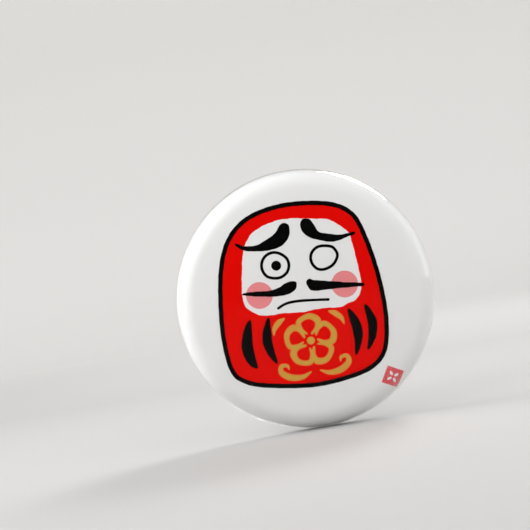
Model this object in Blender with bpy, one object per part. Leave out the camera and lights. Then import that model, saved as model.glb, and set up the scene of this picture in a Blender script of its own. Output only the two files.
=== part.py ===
"""Pin-back button badge, 32 mm, printed face towards -Y and pin side towards +Y.

The badge stands upright as it is worn: +Z is the top of the print, and the origin is the
centre of the back rim, the plane that lies against the cloth. A domed steel shell is
wrapped in printed paper and clear film, a stamped plate closes the back, and one bent
wire forms the catch, the spring bend and the needle.
"""

import math

import bmesh
import bpy
from mathutils import Vector

MM = 0.001

# Outline of the wrapped badge, all in millimetres.
BADGE_RADIUS = 16.0
CROWN_RADIUS = 95.0
SHOULDER_RADIUS = 2.8
RIM_RADIUS = 0.8
TURN_STEPS = 48
CROWN_STEPS = 3
SHOULDER_STEPS = 5
RIM_STEPS = 4
WELD_DISTANCE = 0.001
SHARP_ANGLE = math.radians(35.0)

# Each skin lies between two depths under the outer surface, and its edge is curled this
# many degrees past the rearmost point of the rim.
FILM_DEPTHS = (0.0, 0.08)
FILM_CURL = 20.0
PAPER_DEPTHS = (0.13, 0.23)
PAPER_CURL = 12.0
SHELL_DEPTHS = (0.28, 0.58)
SHELL_CURL = 8.0

# Stamped back plate.
PLATE_THICKNESS = 0.3
FLANGE_RADIUS = 15.15
FLANGE_HEIGHT = -0.85
BEAD_CENTRE = 14.38
BEAD_RADIUS = 0.37
BEAD_HEIGHT = -0.25
BEAD_STEPS = 6
DISHED_BAND = ((13.93, -0.34), (13.72, -0.12), (13.35, -0.05), (12.8, -0.14), (10.62, -0.62))
DISC_RADIUS = 10.5
DISC_RING = 6.0
DISC_HEIGHT = -1.15

# Slots in the plate, one for the catch and one for the spring bend.
SLOT_LENGTH = 6.24
SLOT_WIDTH = 3.2
SLOT_OFFSET = 9.6
CATCH_SLOT_RAISE = 0.37
SLOT_END_STEPS = 8
CUT_START = -3.0
CUT_END = 2.0

# Pin wire. The inner run lies between the plate and the shell.
WIRE_RADIUS = 0.425
INNER_RUN = -2.05
RUN_BEND_X = -8.0
RUN_BEND = 5.0
BEND_STEP = 18.0
BEVEL_STEPS = 2
FOOT_END = -1.6
CATCH_LEGS = (10.95, 7.4)
CATCH_KNEES = (10.88, 7.32)
CATCH_FEET = (10.1, 7.7)
HOOK_TOP = 0.95
HOOK_REACH = 1.1
KNEE_REACH = 1.36
KNEE_HEIGHT = -1.0
CATCH_LIP = 1.65
CATCH_BOTTOM = -3.15
LEG_BEND = 0.6
KNEE_BEND = 2.5
FOOT_BEND = 0.95
SPRING_TURN_X = -11.5
SPRING_BEND = 0.85
NEEDLE_BEND = 0.9
NEEDLE_TIP_X = 11.3
POINT_LENGTH = 2.2
POINT_SCALE = 0.12

# The wire leaves its slot at this slope, and the needle turns about that line.
SWIVEL_SLOPE = math.radians(30.0)
SWIVEL_STUB = 0.45
NEEDLE_STUB = 0.35
WIRE_GAP = 0.15

CROWN_CENTRE = math.sqrt(
    (CROWN_RADIUS - SHOULDER_RADIUS) ** 2 - (BADGE_RADIUS - SHOULDER_RADIUS) ** 2
) - RIM_RADIUS
CROWN_ANGLE = math.asin((BADGE_RADIUS - SHOULDER_RADIUS) / (CROWN_RADIUS - SHOULDER_RADIUS))


def clear_scene():
    """Remove every object, the startup cube among them."""
    for item in list(bpy.data.objects):
        bpy.data.objects.remove(item, do_unlink=True)


def principled(name, colour, roughness, metallic=0.0, alpha=1.0):
    """Return a material with one Principled BSDF."""
    material = bpy.data.materials.new(name)
    material.use_nodes = True
    shader = material.node_tree.nodes["Principled BSDF"]
    shader.inputs["Base Color"].default_value = (*colour, 1.0)
    shader.inputs["Roughness"].default_value = roughness
    shader.inputs["Metallic"].default_value = metallic
    shader.inputs["Alpha"].default_value = alpha
    return material


def add_object(name, data, material=None):
    """Link an object that shows the given mesh or curve."""
    item = bpy.data.objects.new(name, data)
    bpy.context.collection.objects.link(item)
    if material is not None:
        data.materials.append(material)
    return item


def arc(centre, radius, start, end, steps):
    """Points (r, y) on an arc; angle 0 faces the front and 90 degrees faces outwards."""
    points = []
    for step in range(steps + 1):
        angle = start + (end - start) * step / steps
        points.append((
            centre[0] + radius * math.sin(angle),
            centre[1] - radius * math.cos(angle),
        ))
    return points


def skin_line(depth, curl):
    """Half section of the surface that lies `depth` under the outside of the badge."""
    crown_radius = CROWN_RADIUS - depth
    crown = arc((0.0, CROWN_CENTRE), crown_radius, 0.0, CROWN_ANGLE, CROWN_STEPS)
    shoulder = arc(
        (BADGE_RADIUS - SHOULDER_RADIUS, -RIM_RADIUS), SHOULDER_RADIUS - depth,
        CROWN_ANGLE, math.pi / 2, SHOULDER_STEPS,
    )
    rim = arc(
        (BADGE_RADIUS - RIM_RADIUS, -RIM_RADIUS), RIM_RADIUS - depth,
        math.pi / 2, math.pi + math.radians(curl), RIM_STEPS,
    )
    return crown + shoulder[1:] + rim[1:]


def turned_mesh(name, section):
    """Turn a half section of (r, y) points, in millimetres, about the Y axis.

    The faces point to the right of the direction in which the section runs.
    """
    shape = bmesh.new()
    verts = [shape.verts.new((r * MM, y * MM, 0.0)) for r, y in section]
    edges = [shape.edges.new(pair) for pair in zip(verts, verts[1:])]
    bmesh.ops.spin(
        shape, geom=verts + edges, cent=(0, 0, 0), axis=(0, 1, 0),
        angle=math.tau, steps=TURN_STEPS, use_merge=True, use_normal_flip=True,
    )
    bmesh.ops.remove_doubles(shape, verts=shape.verts, dist=WELD_DISTANCE * MM)
    mesh = bpy.data.meshes.new(name)
    shape.to_mesh(mesh)
    shape.free()
    mesh.shade_smooth()
    mesh.set_sharp_from_angle(angle=SHARP_ANGLE)
    return mesh


def make_skin(name, depths, curl, material):
    """A cup-shaped skin of even thickness, from the face round to the back rim."""
    outside = skin_line(depths[0], curl)
    inside = skin_line(depths[1], curl)
    return add_object(name, turned_mesh(name, outside + inside[::-1]), material)


def plate_line():
    """Half section of the plate's rear surface, from the flange in to the centre."""
    bead = arc((BEAD_CENTRE, BEAD_HEIGHT), BEAD_RADIUS, math.pi / 2, math.pi * 1.5, BEAD_STEPS)
    flange = [
        (FLANGE_RADIUS, FLANGE_HEIGHT),
        (BEAD_CENTRE + BEAD_RADIUS, FLANGE_HEIGHT),
    ]
    disc = [(radius, DISC_HEIGHT) for radius in (DISC_RADIUS, DISC_RING, 0.0)]
    return flange + bead + list(DISHED_BAND) + disc


def slot_cutter(name, x, z):
    """A prism with round ends that cuts one slot through the plate."""
    end_offset = (SLOT_LENGTH - SLOT_WIDTH) / 2
    outline = []
    for side in (1, -1):
        for step in range(SLOT_END_STEPS + 1):
            angle = math.pi * (step / SLOT_END_STEPS - 0.5)
            outline.append((
                x + side * (end_offset + SLOT_WIDTH / 2 * math.cos(angle)),
                z + side * SLOT_WIDTH / 2 * math.sin(angle),
            ))
    shape = bmesh.new()
    verts = [shape.verts.new((px * MM, CUT_START * MM, pz * MM)) for px, pz in outline]
    face = shape.faces.new(verts)
    extruded = bmesh.ops.extrude_face_region(shape, geom=[face])
    moved = [item for item in extruded["geom"] if isinstance(item, bmesh.types.BMVert)]
    bmesh.ops.translate(shape, verts=moved, vec=(0, (CUT_END - CUT_START) * MM, 0))
    bmesh.ops.recalc_face_normals(shape, faces=shape.faces)
    mesh = bpy.data.meshes.new(name)
    shape.to_mesh(mesh)
    shape.free()
    cutter = add_object(name, mesh)
    cutter.hide_render = True
    cutter.display_type = "WIRE"
    return cutter


def make_back_plate(material):
    """The stamped plate: a turned sheet with a rolled bead, cut by its two slots."""
    section = plate_line()
    plate = add_object("back_plate", turned_mesh("back_plate", section), material)
    sheet = plate.modifiers.new("sheet", "SOLIDIFY")
    sheet.thickness = PLATE_THICKNESS * MM
    sheet.offset = -1.0
    sheet.use_even_offset = True
    slots = (
        slot_cutter("catch_slot", SLOT_OFFSET, CATCH_SLOT_RAISE),
        slot_cutter("spring_slot", -SLOT_OFFSET, 0.0),
    )
    for cutter in slots:
        cut = plate.modifiers.new(cutter.name, "BOOLEAN")
        cut.operation = "DIFFERENCE"
        cut.solver = "EXACT"
        cut.object = cutter
    return plate


def bent(corners):
    """Round the corners of a wire route; a corner is (x, y, z, bend radius)."""
    points = [Vector(corners[0][:3])]
    for before, corner, after in zip(corners, corners[1:], corners[2:]):
        here = Vector(corner[:3])
        arriving = (here - Vector(before[:3])).normalized()
        leaving = (Vector(after[:3]) - here).normalized()
        turn = arriving.angle(leaving)
        setback = corner[3] * math.tan(turn / 2)
        start = here - arriving * setback
        side = (leaving - arriving * math.cos(turn)).normalized()
        steps = max(2, round(math.degrees(turn) / BEND_STEP))
        for step in range(steps + 1):
            angle = turn * step / steps
            along = arriving * math.sin(angle)
            across = side * (1 - math.cos(angle))
            points.append(start + (along + across) * corner[3])
    points.append(Vector(corners[-1][:3]))
    return points


def make_wire(name, points, origin, material, point_scale=1.0):
    """A round wire through the points, in millimetres, with its origin where it turns."""
    curve = bpy.data.curves.new(name, "CURVE")
    curve.dimensions = "3D"
    curve.bevel_depth = WIRE_RADIUS * MM
    curve.bevel_resolution = BEVEL_STEPS
    curve.use_fill_caps = True
    route = curve.splines.new("POLY")
    route.points.add(len(points) - 1)
    for slot, point in zip(route.points, points):
        slot.co = (*((point - origin) * MM), 1.0)
    route.points[-1].radius = point_scale
    wire = add_object(name, curve, material)
    wire.location = origin * MM
    return wire


def swivel():
    """Return the spring bend's upper corner, the needle's pivot and the line it turns about."""
    slope = Vector((math.cos(SWIVEL_SLOPE), math.sin(SWIVEL_SLOPE), 0.0))
    upper_turn = math.pi / 2 - SWIVEL_SLOPE
    setback = SPRING_BEND * math.tan(upper_turn / 2)
    corner = Vector((SPRING_TURN_X, INNER_RUN + SPRING_BEND + setback, 0.0))
    return corner, corner + slope * (setback + SWIVEL_STUB), slope


def make_catch_wire(material):
    """The fixed wire: hidden foot, looped catch, inner run and spring bend."""
    outer, inner = CATCH_LEGS
    corner, pivot, slope = swivel()
    end = pivot - slope * WIRE_GAP
    corners = [
        (outer, INNER_RUN, FOOT_END, 0.0),
        (outer, INNER_RUN, HOOK_TOP, LEG_BEND),
        (outer, HOOK_REACH, HOOK_TOP, LEG_BEND),
        (CATCH_KNEES[0], KNEE_REACH, KNEE_HEIGHT, KNEE_BEND),
        (CATCH_FEET[0], CATCH_LIP, CATCH_BOTTOM, FOOT_BEND),
        (CATCH_FEET[1], CATCH_LIP, CATCH_BOTTOM, FOOT_BEND),
        (CATCH_KNEES[1], KNEE_REACH, KNEE_HEIGHT, KNEE_BEND),
        (inner, HOOK_REACH, HOOK_TOP, LEG_BEND),
        (inner, INNER_RUN, HOOK_TOP, LEG_BEND),
        (RUN_BEND_X, INNER_RUN, 0.0, RUN_BEND),
        (SPRING_TURN_X, INNER_RUN, 0.0, SPRING_BEND),
        (*corner, SPRING_BEND),
        (*end, 0.0),
    ]
    return make_wire("catch_wire", bent(corners), Vector((0, 0, 0)), material)


def make_needle(material):
    """The needle, which starts on its swivel line and ends under the catch."""
    pivot, slope = swivel()[1:]
    start = pivot + slope * WIRE_GAP
    setback = NEEDLE_BEND * math.tan(SWIVEL_SLOPE / 2)
    corner = start + slope * (NEEDLE_STUB + setback)
    taper = Vector((NEEDLE_TIP_X - POINT_LENGTH, corner.y, 0.0))
    tip = Vector((NEEDLE_TIP_X, corner.y, 0.0))
    points = bent([(*start, 0.0), (*corner, NEEDLE_BEND), (*taper, 0.0)]) + [tip]
    return make_wire("pin_needle", points, pivot, material, POINT_SCALE)


def build():
    """Model the badge."""
    clear_scene()
    film = principled("clear film", (1.0, 1.0, 1.0), 0.08, alpha=0.15)
    paper = principled("white paper", (0.86, 0.86, 0.85), 0.5)
    steel = principled("tinplate", (0.62, 0.6, 0.57), 0.35, metallic=1.0)
    plate = principled("stamped tinplate", (0.66, 0.64, 0.6), 0.28, metallic=1.0)
    wire = principled("nickel wire", (0.75, 0.73, 0.69), 0.15, metallic=1.0)
    make_skin("clear_film", FILM_DEPTHS, FILM_CURL, film)
    make_skin("printed_paper", PAPER_DEPTHS, PAPER_CURL, paper)
    make_skin("front_shell", SHELL_DEPTHS, SHELL_CURL, steel)
    make_back_plate(plate)
    make_catch_wire(wire)
    make_needle(wire)


build()
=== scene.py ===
"""The looks of the pin-back button badge: print, film, brushed tinplate and nickel wire.

The badge's frame is the CAD model's: the printed face looks towards -Y, the pin side
towards +Y, and +Z is the top of the print. Lengths below are in millimetres.
"""

import math

import bpy
import numpy as np
from mathutils import Matrix, Vector
from mathutils.geometry import delaunay_2d_cdt


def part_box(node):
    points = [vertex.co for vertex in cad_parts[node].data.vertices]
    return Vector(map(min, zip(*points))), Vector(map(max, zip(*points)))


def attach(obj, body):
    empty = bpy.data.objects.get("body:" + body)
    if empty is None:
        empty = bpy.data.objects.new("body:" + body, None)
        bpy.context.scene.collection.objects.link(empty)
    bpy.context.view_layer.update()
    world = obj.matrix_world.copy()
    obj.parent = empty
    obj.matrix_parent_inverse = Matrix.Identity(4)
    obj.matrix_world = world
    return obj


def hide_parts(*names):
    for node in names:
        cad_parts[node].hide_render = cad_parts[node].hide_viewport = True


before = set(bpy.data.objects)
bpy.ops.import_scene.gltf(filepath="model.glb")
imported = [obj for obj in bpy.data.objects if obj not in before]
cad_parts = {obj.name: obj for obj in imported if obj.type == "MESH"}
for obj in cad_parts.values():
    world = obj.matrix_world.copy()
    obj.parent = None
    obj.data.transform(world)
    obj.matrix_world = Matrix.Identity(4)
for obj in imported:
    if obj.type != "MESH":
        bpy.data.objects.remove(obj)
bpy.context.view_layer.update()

MM = 0.001

# The wrapped badge, as in the CAD model, but with its skins curled further in at the rim.
BADGE_RADIUS = round(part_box("clear_film")[1].x / MM, 3)
CROWN_RADIUS = 95.0
SHOULDER_RADIUS = 2.8
RIM_RADIUS = 0.8
FILM_DEPTHS = (0.0, 0.08)
FILM_CURL = 32.0
PAPER_DEPTHS = (0.13, 0.23)
PAPER_CURL = 24.0
SHELL_DEPTHS = (0.28, 0.58)
SHELL_CURL = 14.0
SHOULDER_CENTRE = BADGE_RADIUS - SHOULDER_RADIUS
CROWN_CENTRE = math.sqrt(
    (CROWN_RADIUS - SHOULDER_RADIUS) ** 2 - SHOULDER_CENTRE ** 2
) - RIM_RADIUS
CROWN_ANGLE = math.asin(SHOULDER_CENTRE / (CROWN_RADIUS - SHOULDER_RADIUS))

# How finely the turned meshes are divided, and the edges that stay sharp on them.
TURN_STEPS = 256
CROWN_STEPS = 14
SHOULDER_STEPS = 18
RIM_STEPS = 14
RAGGED_ROWS = 4.0
SKIN_SHARP = math.radians(50)
RING_TOLERANCE = 0.001
CDT_TOLERANCE = 1e-5

# The back plate, as in the CAD model.
PLATE_THICKNESS = 0.3
FLANGE_RADIUS = 15.15
FLANGE_HEIGHT = -0.85
BEAD_CENTRE = 14.38
BEAD_RADIUS = 0.37
BEAD_HEIGHT = -0.25
DISC_RADIUS = 10.5
DISC_HEIGHT = -1.15
SLOT_LENGTH = 6.24
SLOT_WIDTH = 3.2
SLOTS = ((9.6, 0.37), (-9.6, 0.0))
SLOT_ROUNDING = 0.12
# The plate's middle is triangulated flat, and joins the turned rest on this radius.
PLATE_JOIN = 13.2
JOIN_OVERLAP = 0.4
SLOPE_STEP = 0.012
FINE_FROM = 10.0
RING_DENSITY = 14
FILLET_SHARE = 0.48
FILLET_STEPS = 7
BEAD_STEPS = 20
SLOT_ROUND_STEPS = 24
SLOT_SIDE_STEPS = 60
SLOT_RINGS = (0.0, 0.01, 0.03, 0.06, 0.09, SLOT_ROUNDING, 0.16)
SLOT_CLEARANCE = 0.17

# The wire, as in the CAD model.
WIRE_RADIUS = 0.425
INNER_RUN = -2.05
CATCH_LEGS = (10.95, 7.4)
CATCH_KNEES = (10.88, 7.32)
CATCH_FEET = (10.1, 7.7)
HOOK_TOP = 0.95
HOOK_REACH = 1.1
KNEE_REACH = 1.36
KNEE_HEIGHT = -1.0
CATCH_LIP = 1.65
CATCH_BOTTOM = -3.15
LEG_BEND = 0.6
KNEE_BEND = 2.5
FOOT_BEND = 0.95
FOOT_END = -1.6
RUN_BEND_X = -8.0
RUN_BEND = 5.0
SPRING_TURN_X = -11.5
SPRING_BEND = 0.85
NEEDLE_BEND = 0.9
NEEDLE_TIP_X = 11.3
POINT_LENGTH = 2.2
SWIVEL_SLOPE = math.radians(30.0)
SWIVEL_STUB = 0.45
NEEDLE_STUB = 0.5
# The fixed wire and the needle each stop this far from their joint.
JOINT_LAP = 0.005
WIRE_SIDES = 32
BEND_STEP = 5.0
TUBE_SHARP = math.radians(60)
# The cut end of the fixed wire is rounded: heights above it, and shares of the radius.
FOOT_TAPER = ((0.0, 0.8), (0.03, 0.94), (0.1, 1.0))
POINT_STEPS = 14
POINT_CURVE = 1.35
POINT_RADIUS = 0.02

# The print's edge on the shoulder: outside it the paper is plain white.
PRINT_RADIUS = 15.7
PRINT_RINGS = (13.1, 13.4, 13.7, 14.0, 14.3, 14.6, 14.85, 15.08, 15.26, 15.4, 15.52, 15.62)
PRINT_RING_STEPS = 160
# Its lines are drawn by hand: how far apart their waves are, and their round ends.
WAVE_LENGTH = 1.9
CAP_STEPS = 6
# Inside the rings, points stand in rows that cover the flatter part of the face.
GRID_RADIUS = 12.8
GRID_REACH = 24
GRID_STEP = 0.62
GRID_ROW = 0.54
# The drawing is this much smaller than its outlines below.
PRINT_SCALE = 0.989

# The view: how wide it is where the badge stands, and how far right and up of its
# centre the badge is. The badge leans a little to the left in it.
VIEW_WIDTH = 65.5
VIEW_OFFSET = (4.95, -4.11)
VIEW_LEAN = math.radians(9.5)
LENS = 85.0
SENSOR = 36.0
CLIP_START = 0.001
CLIP_END = 10.0

# The floor runs back to where it curves up into the wall.
FLOOR_GAP = 0.01
FLOOR_FRONT = -900.0
FLOOR_BACK = 230.0
SWEEP_RADIUS = 120.0
SWEEP_STEPS = 24
SWEEP_REACH = 900.0
WALL_TOP = 160.0

# How bright the surroundings are from before the face (0) to behind the badge (1).
SURROUND = ((0.0, 0.03), (0.025, 0.05), (0.05, 1.0), (0.5, 0.95), (0.75, 0.4), (1.0, 0.15))
HORIZON_COLOUR = (0.425, 0.42, 0.41, 1)
SKY_COLOUR = (0.74, 0.735, 0.715, 1)


# ---------------------------------------------------------------- materials


class Nodes:
    """A material's node tree, with short calls for the nodes used here."""

    def __init__(self, name):
        self.material = bpy.data.materials.new(name)
        self.material.use_nodes = True
        self.tree = self.material.node_tree
        self.tree.nodes.clear()
        self.output = self.tree.nodes.new("ShaderNodeOutputMaterial")
        self.place = self.tree.nodes.new("ShaderNodeTexCoord").outputs["Object"]

    def node(self, kind, inputs=None, **settings):
        made = self.tree.nodes.new("ShaderNode" + kind)
        for key, value in settings.items():
            setattr(made, key, value)
        for key, value in (inputs or {}).items():
            self.feed(made.inputs[key], value)
        return made

    def feed(self, socket, value):
        if isinstance(value, bpy.types.NodeSocket):
            self.tree.links.new(value, socket)
        elif hasattr(value, "__len__") and socket.type == "RGBA":
            socket.default_value = (*value[:3], 1.0)
        else:
            socket.default_value = value

    def noise(self, scale, stretch=(1, 1, 1), detail=3.0, roughness=0.55):
        """Noise with `scale` features a metre, stretched by the given factors."""
        mapped = self.node("Mapping", {"Vector": self.place, "Scale": stretch})
        return self.node("TexNoise", {
            "Vector": mapped.outputs[0], "Scale": scale, "Detail": detail,
            "Roughness": roughness,
        }).outputs[0]

    def span(self, value, low, high, out_low=0.0, out_high=1.0):
        return self.node("MapRange", {
            "Value": value, "From Min": low, "From Max": high,
            "To Min": out_low, "To Max": out_high,
        }).outputs[0]

    def math(self, operation, first, second=0.0):
        made = self.node("Math", operation=operation)
        self.feed(made.inputs[0], first)
        self.feed(made.inputs[1], second)
        return made.outputs[0]

    def mix(self, factor, first, second):
        made = self.node("Mix", data_type="RGBA")
        self.feed(made.inputs["Factor"], factor)
        self.feed(made.inputs[6], first)
        self.feed(made.inputs[7], second)
        return made.outputs[2]

    def bump(self, height, strength, distance):
        return self.node("Bump", {
            "Height": height, "Strength": strength, "Distance": distance,
        }).outputs[0]

    def principled(self, **inputs):
        named = {key.replace("_", " "): value for key, value in inputs.items()}
        shader = self.node("BsdfPrincipled", named)
        self.tree.links.new(shader.outputs[0], self.output.inputs["Surface"])
        return self.material


def ink(name, light, dark, roughness=0.42):
    """Printed ink: a faint grain of paper fibres and a slow unevenness in the colour."""
    nodes = Nodes(name)
    grain = nodes.noise(9000.0, detail=2.0)
    drift = nodes.noise(260.0, detail=2.0)
    fine_share = nodes.span(grain, 0.3, 0.7, 0.0, 0.6)
    blend = nodes.math("ADD", fine_share, nodes.span(drift, 0.3, 0.7, 0.0, 0.4))
    return nodes.principled(
        Base_Color=nodes.mix(blend, light, dark),
        Roughness=nodes.span(grain, 0.2, 0.8, roughness - 0.05, roughness + 0.08),
        Specular_IOR_Level=0.0,
        Normal=nodes.bump(grain, 0.12, 0.00001),
    )


def stamped_ink(name, light, dark, gap):
    """Ink from a hand stamp: it misses the paper in small specks."""
    nodes = Nodes(name)
    grain = nodes.noise(9000.0, detail=2.0)
    specks = nodes.span(nodes.noise(7200.0, detail=3.0, roughness=0.7), 0.56, 0.66)
    return nodes.principled(
        Base_Color=nodes.mix(specks, nodes.mix(grain, light, dark), gap),
        Roughness=nodes.span(grain, 0.2, 0.8, 0.4, 0.5),
        Specular_IOR_Level=0.0,
        Normal=nodes.bump(grain, 0.12, 0.00001),
    )


def brushed_gold():
    """Gold ink laid on as by a brush: darker and redder where it thins at its edges."""
    nodes = Nodes("gold ink")
    core = nodes.node("Attribute", attribute_name="core").outputs["Fac"]
    grain = nodes.noise(5200.0, detail=3.0)
    drift = nodes.noise(700.0, detail=3.0)
    body = nodes.span(core, 0.0, 1.0, 0.0, 0.85)
    solid = nodes.math("ADD", body, nodes.span(drift, 0.35, 0.65, -0.25, 0.2))
    warm = nodes.mix(nodes.span(grain, 0.3, 0.7), (0.70, 0.27, 0.06), (0.64, 0.24, 0.05))
    gold = nodes.mix(nodes.span(grain, 0.3, 0.7), (0.62, 0.37, 0.055), (0.55, 0.34, 0.05))
    return nodes.principled(
        Base_Color=nodes.mix(solid, warm, gold),
        Roughness=0.4,
        Specular_IOR_Level=0.1,
        Normal=nodes.bump(grain, 0.15, 0.00001),
    )


def clear_film():
    """Clear film: see-through, with a gloss that grows towards grazing angles."""
    nodes = Nodes("clear film")
    waves = nodes.noise(120.0, detail=1.0)
    normal = nodes.bump(waves, 0.25, 0.00004)
    through = nodes.node("BsdfTransparent", {"Color": (0.985, 0.985, 0.98)}).outputs[0]
    gloss = nodes.node("BsdfGlossy", {
        "Color": (1, 1, 1), "Roughness": 0.09, "Normal": normal,
    }).outputs[0]
    facing = nodes.node("LayerWeight", {"Blend": 0.5, "Normal": normal}).outputs["Facing"]
    share = nodes.span(nodes.math("POWER", facing, 2.8), 0.0, 1.0, 0.003, 0.9)
    mixed = nodes.node("MixShader", {0: share, 1: through, 2: gloss}).outputs[0]
    nodes.tree.links.new(mixed, nodes.output.inputs["Surface"])
    return nodes.material


def brushed_tinplate(name, light, dark, roughness, bump, polish_and_highlight_rings=()):
    """Rolled tinplate: streaks along Z, all one way, whatever the sheet is pressed into.

    In rings, given as (radius, half width, strength), the press tools have rubbed it smoother, and
    there its base colour is painted lighter as a painted highlight.
    """
    nodes = Nodes(name)
    flat = nodes.node("VectorMath", {0: nodes.place, 1: (1, 0, 1)}, operation="MULTIPLY")
    radius = nodes.node("VectorMath", {0: flat.outputs[0]}, operation="LENGTH").outputs["Value"]
    # Mask of the rings: it lowers the roughness as a real polish, and paints the base colour lighter as
    # a painted highlight.
    polish_and_highlight = 0.0
    for ring, half_width, strength in polish_and_highlight_rings:
        away = nodes.math("ABSOLUTE", nodes.math("SUBTRACT", radius, ring * MM))
        here = nodes.span(away, (half_width + 0.05) * MM, half_width * MM, 0.0, strength)
        polish_and_highlight = nodes.math("MAXIMUM", here, polish_and_highlight)
    fine = nodes.noise(9000.0, stretch=(1.0, 0.08, 0.03), detail=4.0, roughness=0.6)
    broad = nodes.noise(1500.0, stretch=(1.0, 0.1, 0.06), detail=3.0)
    cloud = nodes.noise(160.0, detail=2.0)
    fine_share = nodes.span(fine, 0.3, 0.7, 0.0, 0.6)
    streaks = nodes.math("ADD", fine_share, nodes.span(broad, 0.3, 0.7, 0.0, 0.4))
    shade = nodes.math("ADD", streaks, nodes.span(cloud, 0.3, 0.7, -0.15, 0.15))
    rough = nodes.span(streaks, 0.0, 1.0, roughness + 0.08, roughness - 0.05)
    return nodes.principled(
        # Painted highlight: inside the rings the base colour turns to a light grey.
        Base_Color=nodes.mix(polish_and_highlight, nodes.mix(shade, dark, light), (0.74, 0.73, 0.71)),
        Metallic=1.0,
        Roughness=nodes.math("MULTIPLY", rough, nodes.span(polish_and_highlight, 0.0, 1.0, 1.0, 0.55)),
        Anisotropic=0.55,
        Tangent=nodes.node("CombineXYZ", {"X": 1.0}).outputs[0],
        Normal=nodes.bump(streaks, bump, 0.00002),
    )


def nickel_wire():
    """Bright nickel on drawn wire: faint draw lines and a little tarnish."""
    nodes = Nodes("nickel wire")
    lines = nodes.noise(6000.0, detail=3.0)
    tarnish = nodes.noise(900.0, detail=3.0)
    return nodes.principled(
        Base_Color=nodes.mix(
            nodes.span(tarnish, 0.35, 0.75), (0.83, 0.81, 0.77), (0.66, 0.62, 0.56),
        ),
        Metallic=1.0,
        Roughness=nodes.span(tarnish, 0.3, 0.7, 0.09, 0.2),
        Normal=nodes.bump(lines, 0.1, 0.00001),
    )


# ---------------------------------------------------------------- meshes


def make_object(name, points, faces, materials, slots=None, normals=None):
    """Link an object with the given points, in millimetres, and its materials.

    `slots` gives each face's material, and `normals` each point's normal.
    """
    mesh = bpy.data.meshes.new(name)
    mesh.from_pydata([tuple(co) for co in np.asarray(points) * MM], [], faces)
    for material in materials:
        mesh.materials.append(material)
    if slots is not None:
        mesh.polygons.foreach_set("material_index", slots)
    mesh.shade_smooth()
    mesh.update()
    if normals is not None:
        mesh.normals_split_custom_set_from_vertices([tuple(normal) for normal in normals])
    item = bpy.data.objects.new(name, mesh)
    bpy.context.scene.collection.objects.link(item)
    return item


def arc(centre, radius, start, end, steps):
    """Points (r, y) on an arc; angle 0 faces the front and 90 degrees faces outwards."""
    angles = np.linspace(start, end, steps + 1)
    return [(centre[0] + radius * math.sin(a), centre[1] - radius * math.cos(a)) for a in angles]


def skin_line(depth, curl, from_radius=0.0):
    """Half section of the surface `depth` under the outside, from a radius to its edge.

    The edge is curled inwards round the rim by `curl` degrees past its rearmost point.
    """
    shoulder_centre = (SHOULDER_CENTRE, -RIM_RADIUS)
    rim_centre = (BADGE_RADIUS - RIM_RADIUS, -RIM_RADIUS)
    rim_end = math.pi + math.radians(curl)
    rim = arc(rim_centre, RIM_RADIUS - depth, math.pi / 2, rim_end, RIM_STEPS)
    first = CROWN_ANGLE
    crown = []
    if from_radius > 0.0:
        first = math.asin((from_radius - SHOULDER_CENTRE) / (SHOULDER_RADIUS - depth))
    else:
        crown_centre = (0.0, CROWN_CENTRE)
        crown = arc(crown_centre, CROWN_RADIUS - depth, 0.0, CROWN_ANGLE, CROWN_STEPS)[:-1]
    shoulder = arc(shoulder_centre, SHOULDER_RADIUS - depth, first, math.pi / 2, SHOULDER_STEPS)
    return crown + shoulder + rim[1:]


def face_height(radius, depth):
    """How far back (y) the face lies at a radius, and its slope there."""
    if radius <= (CROWN_RADIUS - depth) * math.sin(CROWN_ANGLE):
        centre, size, offset = CROWN_CENTRE, CROWN_RADIUS - depth, radius
    else:
        centre, size, offset = -RIM_RADIUS, SHOULDER_RADIUS - depth, radius - SHOULDER_CENTRE
    drop = math.sqrt(size * size - offset * offset)
    return centre - drop, offset / drop


def turned(section, ragged=None):
    """Points and faces of a half section turned about Y; ends at r = 0 become poles.

    `ragged` gives how far out and back a point is moved, from its row and its angle.
    """
    points, faces, rows = [], [], []
    for index, (r, y) in enumerate(section):
        if r < 1e-6:
            rows.append([len(points)])
            points.append((0.0, y, 0.0))
            continue
        row = []
        for step in range(TURN_STEPS):
            angle = math.tau * step / TURN_STEPS
            shift = ragged(index, angle) if ragged else (0.0, 0.0)
            row.append(len(points))
            radius = r + shift[0]
            points.append((radius * math.cos(angle), y + shift[1], radius * math.sin(angle)))
        rows.append(row)
    for first, second in zip(rows, rows[1:]):
        for step in range(TURN_STEPS):
            after = (step + 1) % TURN_STEPS
            if len(first) == 1:
                faces.append((first[0], second[step], second[after]))
            elif len(second) == 1:
                faces.append((first[step], second[0], first[after]))
            else:
                faces.append((first[step], second[step], second[after], first[after]))
    return points, faces


def circle_points(radius):
    """A circle in the XZ plane, with a point for each step of a turned mesh."""
    angles = [math.tau * step / TURN_STEPS for step in range(TURN_STEPS)]
    return [(radius * math.cos(angle), radius * math.sin(angle)) for angle in angles]


def ring_points(flat, radius):
    """The points of a mesh in the XZ plane that lie on a ring, by their angle."""
    ring = {}
    for index, (x, z) in enumerate(flat):
        if abs(math.hypot(x, z) - radius) < RING_TOLERANCE:
            ring[round(math.atan2(z, x) / math.tau * TURN_STEPS) % TURN_STEPS] = index
    return [ring[step] for step in range(TURN_STEPS)]


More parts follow.
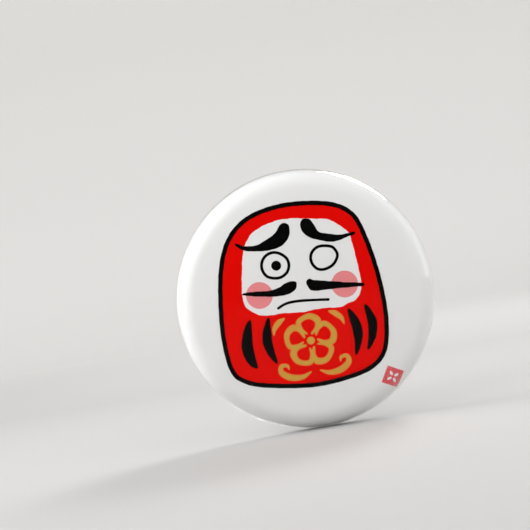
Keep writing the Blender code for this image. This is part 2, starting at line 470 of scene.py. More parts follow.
def turned_band(points, normals, faces, first_row, section, last_row, side):
    """Add a turned section between two rows of points that are there already.

    Its outside lies to the section's right where `side` is 1, and to its left at -1.
    """
    rows = [first_row]
    for (r, y), (dr, dy) in zip(section, np.gradient(np.array(section), axis=0)):
        length = math.hypot(dr, dy)
        out = side * dy / length
        rows.append(list(range(len(points), len(points) + TURN_STEPS)))
        for step in range(TURN_STEPS):
            angle = math.tau * step / TURN_STEPS
            points.append((r * math.cos(angle), y, r * math.sin(angle)))
            normals.append(Vector((out * math.cos(angle), -side * dr / length, out * math.sin(angle))))
    rows.append(last_row)
    for first, second in zip(rows, rows[1:]):
        for step in range(TURN_STEPS):
            after = (step + 1) % TURN_STEPS
            face = (first[step], second[step], second[after], first[after])
            faces.append(face if side > 0 else (face[0], *face[:0:-1]))


def skin(name, depths, curl, material, wobble=0.0):
    """A cup-shaped skin of even thickness, its cut edge a little ragged."""
    outside = skin_line(depths[0], curl)
    inside = skin_line(depths[1], curl)
    section = outside + inside[::-1]
    middle = len(outside) - 0.5

    def ragged(index, angle):
        near = max(0.0, 1.0 - abs(index - middle) / RAGGED_ROWS)
        wave = math.sin(9 * angle + 1.0) + 0.7 * math.sin(23 * angle)
        wave += 0.6 * math.sin(61 * angle + 2.0)
        return wobble * near * wave, wobble * near * 0.3 * wave

    points, faces = turned(section, ragged=ragged if wobble else None)
    piece = make_object(name, points, faces, [material])
    piece.data.set_sharp_from_angle(angle=SKIN_SHARP)
    return piece


def smooth_span(p0, p1, p2, p3, steps):
    """Points from p1 up to p2 on the smooth (Catmull-Rom) curve through four corners."""
    points = []
    for step in range(steps):
        t = step / steps
        points.append(0.5 * (
            2 * p1 + (p2 - p0) * t
            + (2 * p0 - 5 * p1 + 4 * p2 - p3) * t * t
            + (3 * p1 - p0 - 3 * p2 + p3) * t ** 3
        ))
    return points


def smooth_loop(corners, spacing=0.12):
    """A closed smooth curve through the corners."""
    count = len(corners)
    points = []
    for index in range(count):
        near = [np.array(corners[(index + k) % count], float) for k in (-1, 0, 1, 2)]
        steps = max(2, int(np.linalg.norm(near[2] - near[1]) / spacing))
        points += smooth_span(*near, steps)
    return np.array(points)


def smooth_path(corners, spacing=0.1):
    """An open smooth curve through rows of numbers; the first two are x and z."""
    rows = [np.array(row, float) for row in corners]
    rows = [2 * rows[0] - rows[1], *rows, 2 * rows[-1] - rows[-2]]
    points = []
    for near in zip(rows, rows[1:], rows[2:], rows[3:]):
        steps = max(2, int(np.linalg.norm((near[2] - near[1])[:2]) / spacing))
        points += smooth_span(*near, steps)
    points.append(rows[-2])
    return np.array(points)


def left_of(along):
    """Unit vectors to the left of rows of directions."""
    along = along / np.linalg.norm(along, axis=1)[:, None]
    return np.stack([-along[:, 1], along[:, 0]], axis=1)


def loop_sides(loop):
    """Unit vectors to the left of a closed loop, as it runs."""
    return left_of(np.roll(loop, -1, axis=0) - np.roll(loop, 1, axis=0))


def turning(loop):
    """Twice the loop's area: positive where it runs anticlockwise."""
    return np.sum(loop[:, 0] * np.roll(loop[:, 1], -1) - np.roll(loop[:, 0], -1) * loop[:, 1])


def inset(loop, distance):
    """The loop moved inwards by a distance."""
    return loop + loop_sides(loop) * np.sign(turning(loop)) * distance


def hand_drawn(loop, height):
    """The loop with the small unevenness of a line drawn by hand."""
    steps = np.linalg.norm(np.roll(loop, -1, axis=0) - loop, axis=1)
    run = np.concatenate([[0.0], np.cumsum(steps)[:-1]]) / steps.sum() * math.tau
    waves = max(2, round(steps.sum() / WAVE_LENGTH))
    push = np.sin(waves * run + 0.7) + 0.8 * np.sin((2 * waves + 1) * run + 2.1)
    push += 0.6 * np.sin((4 * waves + 3) * run + 4.0)
    return loop + loop_sides(loop) * (push * height)[:, None]


def ellipse(x, z, across, up, steps=64):
    """A closed ellipse."""
    angles = np.linspace(0.0, math.tau, steps, endpoint=False)
    return np.stack([x + across * np.cos(angles), z + up * np.sin(angles)], axis=1)


def brush_stroke(corners, width_scale=1.0):
    """The outline of a stroke with round ends; each corner is (x, z, width)."""
    path = smooth_path(corners)
    along = np.gradient(path[:, :2], axis=0)
    along /= np.linalg.norm(along, axis=1)[:, None]
    side = np.stack([-along[:, 1], along[:, 0]], axis=1)
    half = path[:, 2:3] / 2 * width_scale
    left = path[:, :2] + side * half
    right = path[:, :2] - side * half

    def cap(index, forward):
        out = []
        for step in range(1, CAP_STEPS):
            angle = math.pi * step / CAP_STEPS
            lift = along[index] * math.sin(angle) * forward
            away = side[index] * math.cos(angle) * forward + lift
            out.append(path[index, :2] + half[index] * away)
        return np.array(out)

    return np.concatenate([left, cap(-1, 1), right[::-1], cap(0, -1)])


# ---------------------------------------------------------------- the print

BODY_OUTLINE = [
    (-1.0, 12.05), (3.0, 11.72), (5.9, 10.85), (7.7, 9.25), (8.6, 6.7), (9.3, 3.0),
    (9.65, -1.0), (9.55, -4.5), (8.95, -7.4), (7.8, -9.1), (5.6, -10.2), (1.5, -10.8),
    (-2.0, -10.72), (-6.8, -9.9), (-9.2, -8.98), (-10.5, -7.6), (-10.98, -4.8),
    (-10.9, -0.8), (-10.1, 4.6), (-8.9, 8.0), (-7.1, 10.2), (-4.6, 11.5),
]
BODY_LINE = 0.57

FACE_PANEL = [
    (-2.0, 10.05), (0.0, 10.0), (2.3, 9.58), (4.2, 9.2), (5.2, 8.5), (6.45, 7.2), (6.75, 5.4),
    (6.9, 3.5), (7.0, 1.6), (6.85, 0.1), (6.0, -1.08), (4.9, -1.33), (4.1, -1.65), (1.6, -1.42),
    (-0.6, -1.5), (-3.0, -1.26), (-5.3, -1.18), (-6.7, -0.5), (-7.5, 0.5), (-7.58, 2.0),
    (-7.2, 4.4), (-6.6, 7.0), (-5.6, 8.65), (-4.2, 9.52),
]
BROWS = [
    [
        (-1.15, 9.62), (-0.62, 9.3), (-0.58, 8.5), (-0.95, 7.65), (-1.75, 6.95), (-3.1, 6.62),
        (-4.6, 6.68), (-6.1, 6.95), (-6.95, 7.35), (-7.5, 7.98), (-7.2, 8.08), (-6.5, 7.66),
        (-5.5, 7.47), (-4.6, 7.55), (-3.5, 8.0), (-2.5, 8.5), (-2.05, 8.98), (-1.7, 9.45),
    ],
    [
        (0.95, 9.5), (0.78, 8.9), (1.0, 8.05), (1.6, 7.4), (2.5, 6.95), (3.4, 6.6), (4.4, 6.36),
        (5.3, 6.44), (6.3, 6.68), (7.1, 6.8), (7.32, 7.0), (7.1, 7.18), (6.2, 7.1), (5.4, 7.08),
        (4.3, 7.35), (3.2, 7.7), (2.8, 8.0), (2.55, 8.6), (2.3, 9.2), (1.95, 9.62), (1.35, 9.73),
    ],
]
MOUSTACHE = [
    [
        (-0.82, 2.1), (-1.0, 1.45), (-1.7, 1.02), (-3.0, 0.87), (-4.4, 1.02), (-5.8, 1.28),
        (-7.0, 1.55), (-7.62, 1.8), (-7.0, 1.97), (-5.5, 1.85), (-4.1, 1.74), (-3.0, 1.96),
        (-2.2, 2.3), (-1.5, 2.45), (-1.0, 2.38),
    ],
    [
        (0.36, 1.9), (0.48, 2.25), (0.85, 2.38), (1.3, 2.16), (2.4, 1.88), (3.8, 1.56),
        (5.2, 1.22), (6.7, 0.93), (7.32, 0.76), (7.35, 0.5), (7.0, 0.43), (6.0, 0.5), (4.5, 0.62),
        (2.8, 0.72), (1.6, 0.76), (0.8, 0.95), (0.52, 1.3),
    ],
]
LEAVES = [
    [
        (-7.2, -1.42), (-7.05, -1.75), (-7.18, -3.1), (-7.32, -4.8), (-7.22, -6.3), (-7.15, -7.25),
        (-7.42, -7.42), (-7.95, -7.1), (-8.5, -6.15), (-8.76, -4.9), (-8.6, -3.8), (-8.2, -2.7),
        (-7.7, -1.8),
    ],
    [
        (-4.9, -1.48), (-4.78, -1.8), (-4.84, -3.1), (-4.9, -4.6), (-4.8, -5.9), (-4.66, -6.9),
        (-4.85, -7.25), (-5.3, -6.7), (-5.85, -5.6), (-6.1, -4.4), (-5.92, -3.2), (-5.5, -2.3),
        (-5.15, -1.62),
    ],
    [
        (4.92, -1.98), (5.3, -2.3), (5.8, -3.1), (6.17, -4.2), (6.2, -5.3), (5.9, -6.3),
        (5.45, -7.2), (5.1, -7.72), (4.84, -7.75), (4.88, -7.2), (5.02, -6.1), (5.0, -4.9),
        (4.9, -3.8), (4.77, -2.8), (4.76, -2.15),
    ],
    [
        (7.02, -1.82), (7.35, -2.05), (7.8, -2.9), (8.12, -3.9), (8.08, -4.8), (7.7, -6.0),
        (7.1, -6.9), (6.66, -7.34), (6.4, -7.25), (6.56, -6.6), (6.82, -5.6), (6.96, -4.4),
        (6.95, -3.4), (6.85, -2.5), (6.83, -2.0),
    ],
]
CHEEKS = [(-5.53, 1.36, 1.64), (4.97, 1.03, 1.64)]
EYES = [
    [
        (-3.1, 6.45), (-2.1, 6.12), (-1.35, 5.35), (-1.2, 4.4), (-1.6, 3.5), (-2.5, 2.96),
        (-3.5, 2.98), (-4.4, 3.42), (-4.86, 4.35), (-4.75, 5.35), (-4.1, 6.15),
    ],
    [
        (2.95, 6.27), (4.15, 6.0), (4.68, 5.42), (4.86, 4.75), (4.6, 4.05), (3.9, 3.36),
        (2.8, 3.04), (1.9, 3.26), (1.35, 3.95), (1.2, 4.8), (1.5, 5.6), (2.15, 6.12),
    ],
]
EYE_LINE = 0.36
PUPIL = (-2.92, 4.61, 0.61)
MOUTH = [
    (-3.52, -0.56, 0.34), (-2.8, -0.24, 0.32), (-1.9, -0.08, 0.34), (-0.5, -0.12, 0.34),
    (1.0, -0.28, 0.32), (2.68, -0.5, 0.34),
]
BLOSSOM_CENTRE = (-0.25, -5.1)
BLOSSOM_EYE = 0.48
# A stroke's middle, where the gold lies thick, is this share of its width.
CORE_SHARE = 0.45
SEAL = (9.0, -11.2, 2.2, math.radians(-29.0))
# A petal of the seal's flower: its distance from the middle, and its half length and width.
SEAL_PETAL = (0.48, 0.3, 0.17)


def blossom_strokes():
    """A plum blossom with a curl on each side, drawn with brush strokes (x, z, width)."""
    strokes = []
    centre = np.array(BLOSSOM_CENTRE)
    for petal in range(5):
        turn = math.radians(90 + 72 * petal)
        out = np.array((math.cos(turn), math.sin(turn)))
        across = np.array((-out[1], out[0]))
        shape = [
            (0.85, -0.3, 0.3), (1.5, -1.05, 0.62), (2.35, -1.2, 0.84), (2.95, -0.42, 0.74),
            (2.85, 0.5, 0.62), (2.35, 1.15, 0.66), (1.5, 0.95, 0.52), (0.9, 0.34, 0.2),
        ]
        strokes.append([(*(centre + out * a + across * b), w) for a, b, w in shape])
    for side, middle in ((-1, -0.45), (1, -0.05)):
        curl = [
            (0.4, -8.9, 0.2), (1.5, -9.35, 0.6), (2.9, -9.2, 0.82), (3.95, -8.45, 0.72),
            (3.85, -7.65, 0.52), (3.15, -7.7, 0.42), (3.0, -8.15, 0.18),
        ]
        sprig = [(2.65, -1.95, 0.3), (3.3, -2.3, 0.7), (3.95, -3.0, 0.55), (4.15, -3.75, 0.12)]
        for line in (curl, sprig):
            strokes.append([(middle + side * x, z, width) for x, z, width in line])
    return strokes


def rotation(angle):
    """The matrix that turns rows of (x, z) anticlockwise by an angle."""
    return np.array([[math.cos(angle), math.sin(angle)], [-math.sin(angle), math.cos(angle)]])


def seal_marks():
    """The seal: a tilted square with a plain four-petalled flower left white in it."""
    x, z, size, turn = SEAL
    spin = rotation(turn)
    half = size / 2
    edge = [(-half, -half), (half, -half), (half, half), (-half, half)]
    square = []
    for (ax, az), (bx, bz) in zip(edge, edge[1:] + edge[:1]):
        for t in np.linspace(0.0, 1.0, 10, endpoint=False):
            square.append((ax + (bx - ax) * t, az + (bz - az) * t))
    away, length, width = SEAL_PETAL
    petals = []
    for quarter in range(4):
        petal = ellipse(away, 0.0, length, width, 20)
        petals.append(petal @ rotation(math.pi / 2 * quarter + math.pi / 4) @ spin + (x, z))
    return np.array(square) @ spin + (x, z), petals


def print_layers():
    """The print's areas from the bottom up, as (ink, list of closed loops)."""
    body = smooth_loop(BODY_OUTLINE)
    eyes = [smooth_loop(eye, 0.1) for eye in EYES]
    strokes = blossom_strokes()
    seal, petals = seal_marks()
    return [
        ("black", [hand_drawn(body, 0.011)]),
        ("red", [hand_drawn(inset(body, BODY_LINE), -0.013)]),
        ("white", [hand_drawn(smooth_loop(FACE_PANEL), 0.02)]),
        ("pink", [ellipse(x, z, size, size) for x, z, size in CHEEKS]),
        ("black", [hand_drawn(smooth_loop(shape, 0.1), 0.012) for shape in BROWS + MOUSTACHE + LEAVES]),
        ("black", [brush_stroke(MOUTH)] + eyes),
        ("white", [inset(eye, EYE_LINE) for eye in eyes]),
        ("black", [ellipse(*PUPIL, PUPIL[2], 40)]),
        ("gold", [brush_stroke(stroke) for stroke in strokes]),
        ("gold core", [brush_stroke(stroke, CORE_SHARE) for stroke in strokes]),
        ("gold core", [ellipse(*BLOSSOM_CENTRE, BLOSSOM_EYE, BLOSSOM_EYE, 28)]),
        ("seal", [seal]),
        ("white", petals),
    ]


def spread_points():
    """Points inside the print that keep its triangles small enough for the curved face."""
    points = []
    for row in range(-GRID_REACH, GRID_REACH + 1):
        for column in range(-GRID_REACH, GRID_REACH + 1):
            x = (column + 0.5 * (row % 2)) * GRID_STEP
            z = row * GRID_ROW
            if math.hypot(x, z) < GRID_RADIUS:
                points.append((x, z))
    for ring, radius in enumerate(PRINT_RINGS):
        for step in range(PRINT_RING_STEPS):
            angle = math.tau * (step + 0.5 * (ring % 2)) / PRINT_RING_STEPS
            points.append((radius * math.cos(angle), radius * math.sin(angle)))
    return points


def print_triangles():
    """The points and triangles of the print in the XZ plane, and each triangle's ink."""
    layers = print_layers()
    points = circle_points(PRINT_RADIUS)
    loops, loop_layer = [list(range(TURN_STEPS))], [-1]
    for layer, (_, shapes) in enumerate(layers):
        for outline in shapes:
            shape = outline * PRINT_SCALE
            run = shape if turning(shape) > 0 else shape[::-1]
            loops.append(list(range(len(points), len(points) + len(run))))
            loop_layer.append(layer)
            points.extend(map(tuple, run))
    points.extend(spread_points())
    result = delaunay_2d_cdt([Vector(p) for p in points], [], loops, 1, CDT_TOLERANCE, True)
    verts, faces, origins = result[0], result[2], result[5]
    tops = [max(loop_layer[loop] for loop in own) for own in origins]
    inks = ["white" if top < 0 else layers[top][0] for top in tops]
    return np.array([tuple(v) for v in verts]), [tuple(f) for f in faces], inks


def paper_face(flat, triangles):
    """The print's triangles, laid on the front and the back of the domed paper."""
    points, normals, faces = [], [], []
    for side, depth in zip((1, -1), PAPER_DEPTHS):
        base = len(points)
        for x, z in flat:
            radius = math.hypot(x, z)
            height, slope = face_height(radius, depth)
            lean = slope / max(radius, 1e-9)
            points.append((x, height, z))
            normals.append(Vector((lean * x, -1.0, lean * z)).normalized() * side)
        faces += [tuple(base + index for index in face[::side]) for face in triangles]
    return points, normals, faces


def printed_paper(inks):
    """The paper: the printed face, then plain white round the shoulder to the back."""
    flat, triangles, names = print_triangles()
    points, normals, faces = paper_face(flat, triangles)
    slots = list(inks)
    chosen = [slots.index(name.removesuffix(" core")) for name in names]
    front_ring = ring_points(flat, PRINT_RADIUS)
    back_ring = [len(flat) + index for index in front_ring]
    outside = skin_line(PAPER_DEPTHS[0], PAPER_CURL, PRINT_RADIUS)
    inside = skin_line(PAPER_DEPTHS[1], PAPER_CURL, PRINT_RADIUS)
    section = outside[1:] + inside[::-1][:-1]
    turned_band(points, normals, faces, front_ring, section, back_ring, 1)
    chosen += [slots.index("white")] * (len(faces) - len(chosen))
    piece = make_object("printed_sheet", points, faces, list(inks.values()), chosen, normals)
    core = np.zeros(len(points), np.float32)
    for face, name in zip(triangles, names):
        if name == "gold core":
            core[list(face)] = 1.0
    piece.data.attributes.new("core", "FLOAT", "POINT").data.foreach_set("value", core)
    return piece


# ---------------------------------------------------------------- the back plate


def fillet(corners):
    """Round a chain of (r, y, rounding) corners with short curves."""
    points = [corners[0][:2]]
    for before, corner, after in zip(corners, corners[1:], corners[2:]):
        here = np.array(corner[:2], float)
        back = np.array(before[:2], float) - here
        ahead = np.array(after[:2], float) - here
        room = min(np.linalg.norm(back) * FILLET_SHARE, np.linalg.norm(ahead) * FILLET_SHARE)
        reach = min(corner[2], room)
        if reach <= 0.0:
            points.append(tuple(here))
            continue
        start = here + back / np.linalg.norm(back) * reach
        end = here + ahead / np.linalg.norm(ahead) * reach
        for t in np.linspace(0.0, 1.0, FILLET_STEPS):
            points.append(tuple((1 - t) ** 2 * start + 2 * t * (1 - t) * here + t * t * end))
    points.append(corners[-1][:2])
    return points


def slot_distance(x, z):
    """How far a point lies outside the nearest slot; negative inside."""
    reach = (SLOT_LENGTH - SLOT_WIDTH) / 2
    return min(
        math.hypot(max(abs(x - sx) - reach, 0.0), z - sz) - SLOT_WIDTH / 2
        for sx, sz in SLOTS
    )


def slot_loop(x, z, grow):
    """The slot's outline, grown by a distance."""
    reach = (SLOT_LENGTH - SLOT_WIDTH) / 2
    radius = SLOT_WIDTH / 2 + grow
    points = []
    for side in (1, -1):
        for step in range(SLOT_ROUND_STEPS + 1):
            angle = math.pi * (step / SLOT_ROUND_STEPS - 0.5)
            across = reach + radius * math.cos(angle)
            points.append((x + side * across, z + side * radius * math.sin(angle)))
        for step in range(1, SLOT_SIDE_STEPS):
            across = reach - 2 * reach * step / SLOT_SIDE_STEPS
            points.append((x + side * across, z + side * radius))
    return points


def plate_lines():
    """Half sections of the plate's rear and front surfaces, from the flange inwards."""
    dish = fillet([
        (14.01, -0.25, 0.0), (13.93, -0.34, 0.06), (13.72, -0.12, 0.12), (13.35, -0.05, 0.16),
        (12.8, -0.14, 0.3), (DISC_RADIUS + 0.12, -0.62, 0.13), (DISC_RADIUS, DISC_HEIGHT, 0.06),
        (6.0, DISC_HEIGHT, 0.0), (0.0, DISC_HEIGHT, 0.0),
    ])
    bead_centre = (BEAD_CENTRE, BEAD_HEIGHT)
    bead = arc(bead_centre, BEAD_RADIUS, math.pi / 2, math.pi * 1.5, BEAD_STEPS)
    flange = fillet([
        (FLANGE_RADIUS, FLANGE_HEIGHT, 0.0),
        (BEAD_CENTRE + BEAD_RADIUS, FLANGE_HEIGHT, 0.1),
        (BEAD_CENTRE + BEAD_RADIUS, BEAD_HEIGHT - 0.02, 0.0),
    ])
    rear = np.array(flange + bead + dish[1:])
    return rear, rear + left_of(np.gradient(rear, axis=0)) * PLATE_THICKNESS


def heights_inside(line):
    """The radii and heights of a surface's middle, from the centre outwards."""
    inner = line[line[:, 0] < PLATE_JOIN + JOIN_OVERLAP]
    order = np.argsort(inner[:, 0])
    return inner[order, 0], inner[order, 1]


def plate_middle(radii):
    """The plate's middle, triangulated in the XZ plane with its slots left out."""
    points = circle_points(PLATE_JOIN)
    loops, holes = [list(range(TURN_STEPS))], set()
    for sx, sz in SLOTS:
        holes.add(len(loops))
        for grow in SLOT_RINGS:
            ring = slot_loop(sx, sz, grow)
            loops.append(list(range(len(points), len(points) + len(ring))))
            points.extend(ring)
    for radius in radii:
        count = TURN_STEPS if radius > FINE_FROM else max(24, int(radius * RING_DENSITY))
        for step in range(count):
            x = radius * math.cos(math.tau * step / count)
            z = radius * math.sin(math.tau * step / count)
            if slot_distance(x, z) > SLOT_CLEARANCE:
                points.append((x, z))
    result = delaunay_2d_cdt([Vector(p) for p in points], [], loops, 1, CDT_TOLERANCE, True)
    kept = [tuple(face) for face, own in zip(result[2], result[5]) if not holes & set(own)]
    used = sorted({index for face in kept for index in face})
    renumber = {old: new for new, old in enumerate(used)}
    flat = np.array([tuple(v) for v in result[0]])[used]
    return flat, [tuple(renumber[index] for index in face) for face in kept]


def slot_walls(flat, triangles, points, normals, faces):
    """Add the slots' walls, at every edge that one triangle uses, except on the ring."""
    edges = dict.fromkeys(pair for face in triangles for pair in zip(face, face[1:] + face[:1]))
    count = len(flat)
    for a, b in edges:
        on_ring = abs(math.hypot(*flat[a]) - PLATE_JOIN) < RING_TOLERANCE
        if (b, a) in edges or on_ring:
            continue
        base = len(points)
        wall = Vector((flat[b][1] - flat[a][1], 0.0, flat[a][0] - flat[b][0])).normalized()
        points += [points[index] for index in (a, b, count + b, count + a)]
        normals += [wall] * 4
        faces.append((base, base + 1, base + 2, base + 3))


def back_plate(material):
    """The stamped plate: bead, groove, flank, dished band, step and disc, with its slots."""
    lines = plate_lines()
    rear_profile, front_profile = (heights_inside(line) for line in lines)

    def rear_height(x, z):
        height = np.interp(math.hypot(x, z), *rear_profile)
        near = slot_distance(x, z)
        if near < SLOT_ROUNDING:
            inward = SLOT_ROUNDING - max(near, 0.0)
            height -= SLOT_ROUNDING - math.sqrt(max(SLOT_ROUNDING ** 2 - inward ** 2, 0.0))
        return height

    # Rings of points at the profile's own radii, and more where those are far apart.
    radii = [r for r in rear_profile[0] if 0.5 < r < PLATE_JOIN - 0.02]
    radii += list(np.arange(11.0, 12.6, 0.25)) + list(np.arange(1.0, 10.4, 0.9))
    flat, triangles = plate_middle(radii)
    points = [(x, rear_height(x, z), z) for x, z in flat]
    normals = []
    e = SLOPE_STEP
    for x, z in flat:
        slope_x = (rear_height(x + e, z) - rear_height(x - e, z)) / (2 * e)
        slope_z = (rear_height(x, z + e) - rear_height(x, z - e)) / (2 * e)
        normals.append(Vector((-slope_x, 1.0, -slope_z)).normalized())
    points += [(x, np.interp(math.hypot(x, z), *front_profile), z) for x, z in flat]
    normals += [Vector((0.0, -1.0, 0.0))] * len(flat)
    faces = [face[::-1] for face in triangles]
    faces += [tuple(len(flat) + index for index in face) for face in triangles]
    slot_walls(flat, triangles, points, normals, faces)
    rear, front = ([tuple(p) for p in line if p[0] > PLATE_JOIN + 0.01] for line in lines)
    rear_ring = ring_points(flat, PLATE_JOIN)
    front_ring = [len(flat) + index for index in rear_ring]
    turned_band(points, normals, faces, rear_ring, rear[::-1] + front, front_ring, -1)
    return make_object("stamped_plate", points, faces, [material], normals=normals)


# ---------------------------------------------------------------- the wire


def bent(corners):
    """Round the corners of a wire route; a corner is (x, y, z, bend radius)."""
    points = [Vector(corners[0][:3])]
    for before, corner, after in zip(corners, corners[1:], corners[2:]):
        here = Vector(corner[:3])
        arriving = (here - Vector(before[:3])).normalized()
        leaving = (Vector(after[:3]) - here).normalized()
        turn = arriving.angle(leaving)
        start = here - arriving * corner[3] * math.tan(turn / 2)
        side = (leaving - arriving * math.cos(turn)).normalized()
        steps = max(4, round(math.degrees(turn) / BEND_STEP))
        for step in range(steps + 1):
            angle = turn * step / steps
            moved = arriving * math.sin(angle) + side * (1 - math.cos(angle))
            points.append(start + moved * corner[3])
    points.append(Vector(corners[-1][:3]))
    return points


def tube(name, points, radii, material):
    """A round wire along the points, closed at both ends."""
    verts, faces = [], []
    side = Vector((0.6, 0.0, 0.8))
    for index, point in enumerate(points):
        before = points[max(index - 1, 0)]
        after = points[min(index + 1, len(points) - 1)]
        along = (after - before).normalized()
        side = (side - along * side.dot(along)).normalized()
        other = along.cross(side)
        for step in range(WIRE_SIDES):
            angle = math.tau * step / WIRE_SIDES
            verts.append(point + (side * math.cos(angle) + other * math.sin(angle)) * radii[index])
    for ring in range(len(points) - 1):
        for step in range(WIRE_SIDES):
            after = (step + 1) % WIRE_SIDES
            a, b = ring * WIRE_SIDES, (ring + 1) * WIRE_SIDES
            faces.append((a + step, a + after, b + after, b + step))
    faces.append(tuple(range(WIRE_SIDES))[::-1])
    faces.append(tuple(range(len(verts) - WIRE_SIDES, len(verts))))
    piece = make_object(name, [tuple(v) for v in verts], faces, [material])
    piece.data.set_sharp_from_angle(angle=TUBE_SHARP)
    return piece


def swivel():
    """The spring bend's upper corner, the needle's pivot and the line it turns about."""
    slope = Vector((math.cos(SWIVEL_SLOPE), math.sin(SWIVEL_SLOPE), 0.0))
    setback = SPRING_BEND * math.tan((math.pi / 2 - SWIVEL_SLOPE) / 2)
    corner = Vector((SPRING_TURN_X, INNER_RUN + SPRING_BEND + setback, 0.0))
    return corner, corner + slope * (setback + SWIVEL_STUB), slope


def catch_wire(material):
    """The fixed wire: hidden foot, looped catch, inner run and spring bend."""
    outer, inner = CATCH_LEGS
    corner, pivot, slope = swivel()
    route = bent([
        (outer, INNER_RUN, FOOT_END, 0.0),
        (outer, INNER_RUN, HOOK_TOP, LEG_BEND),
        (outer, HOOK_REACH, HOOK_TOP, LEG_BEND),
        (CATCH_KNEES[0], KNEE_REACH, KNEE_HEIGHT, KNEE_BEND),
        (CATCH_FEET[0], CATCH_LIP, CATCH_BOTTOM, FOOT_BEND),
        (CATCH_FEET[1], CATCH_LIP, CATCH_BOTTOM, FOOT_BEND),
        (CATCH_KNEES[1], KNEE_REACH, KNEE_HEIGHT, KNEE_BEND),
        (inner, HOOK_REACH, HOOK_TOP, LEG_BEND),
        (inner, INNER_RUN, HOOK_TOP, LEG_BEND),
        (RUN_BEND_X, INNER_RUN, 0.0, RUN_BEND),
        (SPRING_TURN_X, INNER_RUN, 0.0, SPRING_BEND),
        (*corner, SPRING_BEND),
        (*(pivot - slope * JOINT_LAP), 0.0),
    ])
    foot = [route[0] + Vector((0, 0, height)) for height, share in FOOT_TAPER]
    radii = [WIRE_RADIUS * share for height, share in FOOT_TAPER]
    radii += [WIRE_RADIUS] * (len(route) - 1)
    return tube("catch_and_spring", foot + route[1:], radii, material)


def needle(material):
    """The needle, ground to a point that lies under the catch."""
    pivot, slope = swivel()[1:]
    setback = NEEDLE_BEND * math.tan(SWIVEL_SLOPE / 2)
    corner = pivot + slope * (NEEDLE_STUB + setback)
    ground = Vector((NEEDLE_TIP_X - POINT_LENGTH, corner.y, 0.0))
    start = pivot + slope * JOINT_LAP
    route = bent([(*start, 0.0), (*corner, NEEDLE_BEND), (*ground, 0.0)])
    radii = [WIRE_RADIUS] * len(route)
    for step in range(1, POINT_STEPS + 1):
        share = step / POINT_STEPS
        route.append(ground + Vector((POINT_LENGTH * share, 0.0, 0.0)))
        radii.append(WIRE_RADIUS * (1 - share ** POINT_CURVE) + POINT_RADIUS)
    return tube("needle", route, radii, material)


# ---------------------------------------------------------------- the badge

inks = {
    "white": ink("white paper", (0.785, 0.785, 0.8), (0.775, 0.775, 0.78)),
    "black": ink("black ink", (0.004, 0.004, 0.004), (0.002, 0.002, 0.002)),
    "red": ink("red ink", (0.76, 0.004, 0.002), (0.715, 0.003, 0.002)),
    "pink": ink("pink ink", (0.80, 0.27, 0.285), (0.76, 0.25, 0.265)),
    "gold": brushed_gold(),
    "seal": stamped_ink("seal ink", (0.72, 0.11, 0.125), (0.66, 0.08, 0.095), (0.78, 0.42, 0.43)),
}

sheet = printed_paper(inks)
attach(sheet, "badge")
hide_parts("printed_paper")

film = skin("film_skin", FILM_DEPTHS, FILM_CURL, clear_film(), wobble=0.015)
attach(film, "badge")
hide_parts("clear_film")

shell = skin(
    "shell_cup", SHELL_DEPTHS, SHELL_CURL,
    brushed_tinplate("shell tinplate", (0.66, 0.64, 0.62), (0.48, 0.46, 0.45), 0.42, 0.12),
)
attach(shell, "badge")
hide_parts("front_shell")

plate = back_plate(
    brushed_tinplate(
        "plate tinplate", (0.47, 0.475, 0.485), (0.19, 0.192, 0.196), 0.2, 0.3,
        # Painted highlights: the bead, the flank edge, the dished band and the step edge get a lighter
        # base colour.
        polish_and_highlight_rings=(
            (BEAD_CENTRE, 0.4, 1.0), (13.55, 0.1, 1.0), (11.95, 1.2, 0.45),
            (DISC_RADIUS + 0.1, 0.12, 1.0),
        ),
    )
)
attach(plate, "badge")
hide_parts("back_plate")

nickel = nickel_wire()
catch = catch_wire(nickel)
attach(catch, "badge")
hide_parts("catch_wire")

pin = needle(nickel)
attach(pin, "needle")
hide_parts("pin_needle")


# ---------------------------------------------------------------- stage, light and camera


def stage_sweep():
    """A pale floor that curves up into a wall far behind the badge, painted paler further back where
    less lamp light reaches.
    """
    floor_z = -BADGE_RADIUS - FLOOR_GAP
    line = [(FLOOR_FRONT, floor_z), (FLOOR_BACK, floor_z)]
    for step in range(1, SWEEP_STEPS + 1):
        angle = math.pi / 2 * step / SWEEP_STEPS
        back, up = SWEEP_RADIUS * math.sin(angle), SWEEP_RADIUS * (1 - math.cos(angle))
        line.append((FLOOR_BACK + back, floor_z + up))
    line.append((FLOOR_BACK + SWEEP_RADIUS, WALL_TOP))
    points = [(x, y, z) for y, z in line for x in (-SWEEP_REACH, SWEEP_REACH)]
    faces = [(2 * i, 2 * i + 1, 2 * i + 3, 2 * i + 2) for i in range(len(line) - 1)]
    nodes = Nodes("pale paper sweep")
    grain = nodes.noise(600.0, detail=2.0)
    parts = nodes.node("SeparateXYZ", {"Vector": nodes.place}).outputs
    # Painted light: the floor near the badge is painted darker, and the far floor and the wall paler,
    # to even out the lamps' fall-off with distance.
    back = nodes.span(parts["Y"], 0.08, 0.23, 0.0, 0.86)
    paler_where_less_lit = nodes.math("ADD", back, nodes.span(parts["Z"], 0.04, 0.12, 0.0, 0.14))
    floor = nodes.mix(grain, (0.415, 0.407, 0.40), (0.405, 0.397, 0.39))
    wall = nodes.mix(grain, (0.735, 0.72, 0.705), (0.725, 0.71, 0.695))
    material = nodes.principled(Base_Color=nodes.mix(paler_where_less_lit, floor, wall), Roughness=0.8)
    sweep = make_object("sweep", points, faces, [material])


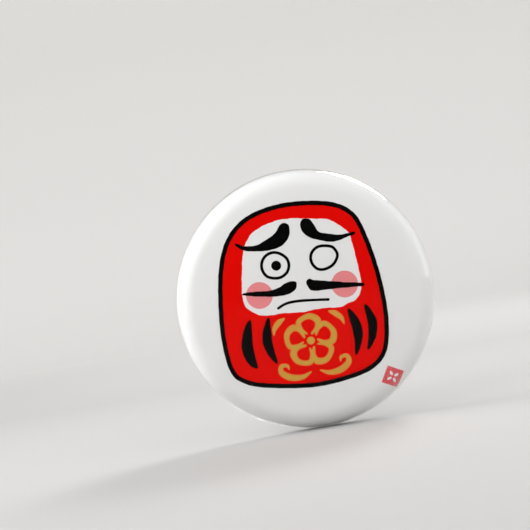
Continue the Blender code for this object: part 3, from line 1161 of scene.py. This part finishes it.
def softbox(name, place, size, power, spread=180.0):
    """A square area light at a place, in millimetres, that faces the badge."""
    data = bpy.data.lights.new(name, "AREA")
    data.shape = "SQUARE"
    data.size = size * MM
    data.energy = power
    data.spread = math.radians(spread)
    lamp = bpy.data.objects.new(name, data)
    bpy.context.scene.collection.objects.link(lamp)
    lamp.visible_camera = False
    lamp.location = Vector(place) * MM
    lamp.rotation_euler = (-Vector(place)).to_track_quat("-Z", "Y").to_euler()


def studio_world():
    """Soft surroundings, dark only straight before the face; the camera sees a pale fade."""
    world = bpy.data.worlds.new("studio")
    bpy.context.scene.world = world
    world.use_nodes = True
    tree = world.node_tree
    tree.nodes.clear()

    def node(kind):
        return tree.nodes.new("ShaderNode" + kind)

    def span(axis, *limits):
        made = node("MapRange")
        for key, value in zip(("From Min", "From Max", "To Min", "To Max"), limits):
            made.inputs[key].default_value = value
        tree.links.new(parts[axis], made.inputs["Value"])
        return made

    separate = node("SeparateXYZ")
    tree.links.new(node("TexCoord").outputs["Generated"], separate.inputs[0])
    parts = separate.outputs

    ramp = node("ValToRGB")
    tree.links.new(span("Y", -1.0, 1.0, 0.0, 1.0).outputs[0], ramp.inputs[0])
    ends = ramp.color_ramp.elements
    for element, (position, shade) in zip((ends[0], ends[-1]), (SURROUND[0], SURROUND[-1])):
        element.position = position
        element.color = (shade, shade, shade, 1)
    for position, shade in SURROUND[1:-1]:
        ends.new(position).color = (shade, shade, shade, 1)
    strength = node("Math")
    strength.operation = "MULTIPLY"
    tree.links.new(span("X", -1.0, 1.0, 0.94, 1.65).outputs[0], strength.inputs[0])
    tree.links.new(span("Z", 0.0, 1.0, 1.3, 0.75).outputs[0], strength.inputs[1])
    surround = node("Background")
    tree.links.new(ramp.outputs[0], surround.inputs["Color"])
    tree.links.new(strength.outputs[0], surround.inputs["Strength"])

    rise = span("Z", 0.0, 0.3, 0.0, 1.0)
    rise.interpolation_type = "SMOOTHSTEP"
    fade = node("Mix")
    fade.data_type = "RGBA"
    fade.inputs[6].default_value = HORIZON_COLOUR
    fade.inputs[7].default_value = SKY_COLOUR
    tree.links.new(rise.outputs[0], fade.inputs["Factor"])
    seen = node("Background")
    tree.links.new(fade.outputs[2], seen.inputs["Color"])

    mixed = node("MixShader")
    tree.links.new(node("LightPath").outputs["Is Camera Ray"], mixed.inputs[0])
    tree.links.new(surround.outputs[0], mixed.inputs[1])
    tree.links.new(seen.outputs[0], mixed.inputs[2])
    tree.links.new(mixed.outputs[0], node("OutputWorld").inputs["Surface"])


def main_camera():
    """The camera looks straight at the face, off to one side, and leans with the view."""
    data = bpy.data.cameras.new("camera")
    data.lens = LENS
    data.sensor_width = SENSOR
    data.clip_start = CLIP_START
    data.clip_end = CLIP_END
    right = Vector((math.cos(VIEW_LEAN), 0.0, -math.sin(VIEW_LEAN)))
    up = Vector((math.sin(VIEW_LEAN), 0.0, math.cos(VIEW_LEAN)))
    back = right.cross(up)
    distance = VIEW_WIDTH / 2 / (SENSOR / 2 / LENS)
    place = -right * VIEW_OFFSET[0] - up * VIEW_OFFSET[1]
    place = place + Vector((0.0, -RIM_RADIUS - distance, 0.0))
    camera = bpy.data.objects.new("camera", data)
    bpy.context.scene.collection.objects.link(camera)
    turn = Matrix((right, up, back)).transposed().to_4x4()
    camera.matrix_world = Matrix.Translation(place * MM) @ turn
    bpy.context.scene.camera = camera


stage_sweep()
studio_world()
softbox("key", (-200, -190, 170), 125, 0.27)
softbox("edge", (-250, 10, 130), 150, 0.09, spread=60)
softbox("rear key", (150, 200, 220), 120, 0.16, spread=90)
main_camera()
bpy.context.scene.view_settings.view_transform = "Standard"
